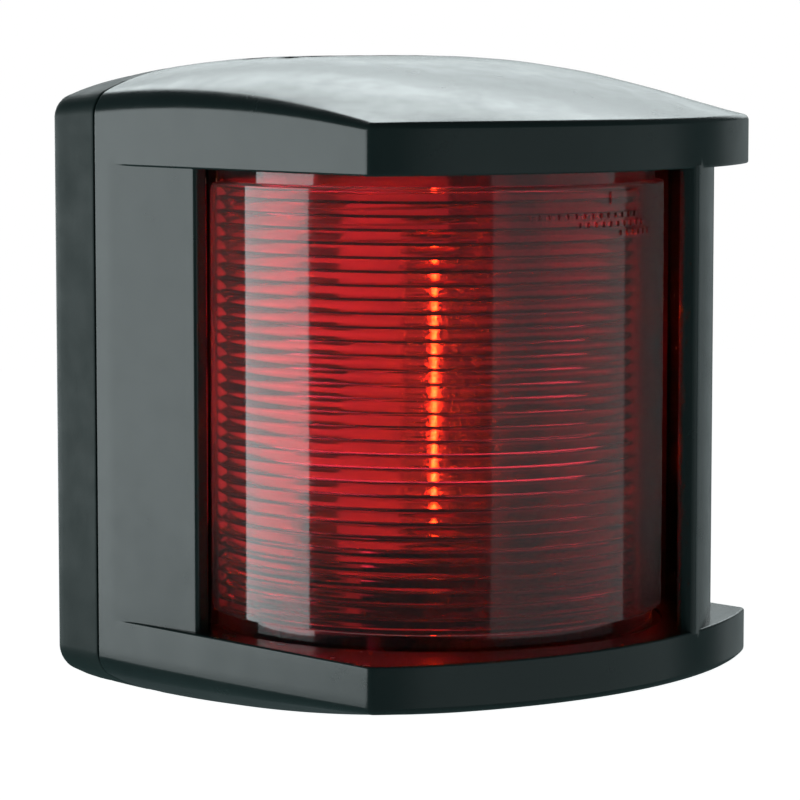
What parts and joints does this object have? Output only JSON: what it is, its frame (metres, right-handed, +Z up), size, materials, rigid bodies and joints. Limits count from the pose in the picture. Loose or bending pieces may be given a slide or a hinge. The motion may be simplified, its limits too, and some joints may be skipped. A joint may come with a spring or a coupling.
{
  "type": "navigation light",
  "caption": "Wall-mounted port sidelight with a ribbed red lens between two crowned black caps and a curved cut-off screen, opening upwards from its base tray.",
  "frame": {"origin": "centre of the flat back face, level with the middle of the window", "axes": "+X to the right seen from the front, -Y out of the wall, +Z up"},
  "size_m": [0.075, 0.0811, 0.0953],
  "materials": {
    "housing": "satin moulded black",
    "lens": "clear red, smooth outside and ribbed inside",
    "rubber": "matt",
    "carrier": "satin moulded",
    "brass": "stamped",
    "steel": "nickel plated",
    "lead_red": "satin",
    "lead_black": "satin",
    "bulb_glass": "clear",
    "filament": "glowing"
  },
  "bodies": {
    "base": {"base_plate": "housing", "base_gasket": "rubber", "cable_grommet": "rubber", "bulb_carrier": "carrier", "terminal_block": "carrier", "terminal_clamp_left": "brass", "terminal_clamp_right": "brass", "carrier_screw_left": "steel", "carrier_screw_right": "steel", "lead_top": "lead_red", "lead_bottom": "lead_black", "contact_foot_top": "brass", "contact_foot_bottom": "brass", "contact_rivet_top": "brass", "contact_rivet_bottom": "brass", "lock_insert": "brass", "lock_washer": "steel"},
    "cover": {"shroud": "housing", "lens": "lens", "lens_gasket": "rubber", "lens_screw_1": "steel", "lens_screw_2": "steel", "lens_screw_3": "steel", "lens_screw_4": "steel"},
    "contact_arm_top": {"contact_arm_top": "brass"},
    "contact_arm_bottom": {"contact_arm_bottom": "brass"},
    "bulb": {"bulb_glass": "bulb_glass", "bulb_cap_top": "steel", "bulb_cap_bottom": "steel", "bulb_filament": "filament"},
    "lock_screw": {"lock_screw": "steel"},
    "terminal_screw_left": {"terminal_screw_left": "steel"},
    "terminal_screw_right": {"terminal_screw_right": "steel"}
  },
  "joints": [
    {"name": "cover_tilt", "type": "hinge", "parent": "base", "child": "cover", "pos_m": [0, -0.0109, 0.0475], "axis": [-1, 0, 0], "range_deg": [0, 60]},
    {"name": "bulb_pull", "type": "slide", "parent": "base", "child": "bulb", "axis": [0, -1, 0], "range_m": [0, 0.012]},
    {"name": "contact_flex_top", "type": "hinge", "parent": "base", "child": "contact_arm_top", "pos_m": [0, -0.016, 0.0198], "axis": [-1, 0, 0], "range_deg": [0, 5], "stiffness_Nm_per_rad": 1.2},
    {"name": "contact_flex_bottom", "type": "hinge", "parent": "base", "child": "contact_arm_bottom", "pos_m": [0, -0.016, -0.0198], "axis": [1, 0, 0], "range_deg": [0, 5], "stiffness_Nm_per_rad": 1.2},
    {"name": "lock_screw_turn", "type": "hinge", "parent": "base", "child": "lock_screw", "pos_m": [0, -0.0147, -0.04], "axis": [0, 0, -1], "continuous": true},
    {"name": "terminal_screw_left_turn", "type": "hinge", "parent": "base", "child": "terminal_screw_left", "pos_m": [-0.006, -0.01, -0.0286], "axis": [0, -1, 0], "continuous": true},
    {"name": "terminal_screw_right_turn", "type": "hinge", "parent": "base", "child": "terminal_screw_right", "pos_m": [0.006, -0.01, -0.0286], "axis": [0, -1, 0], "continuous": true}
  ]
}
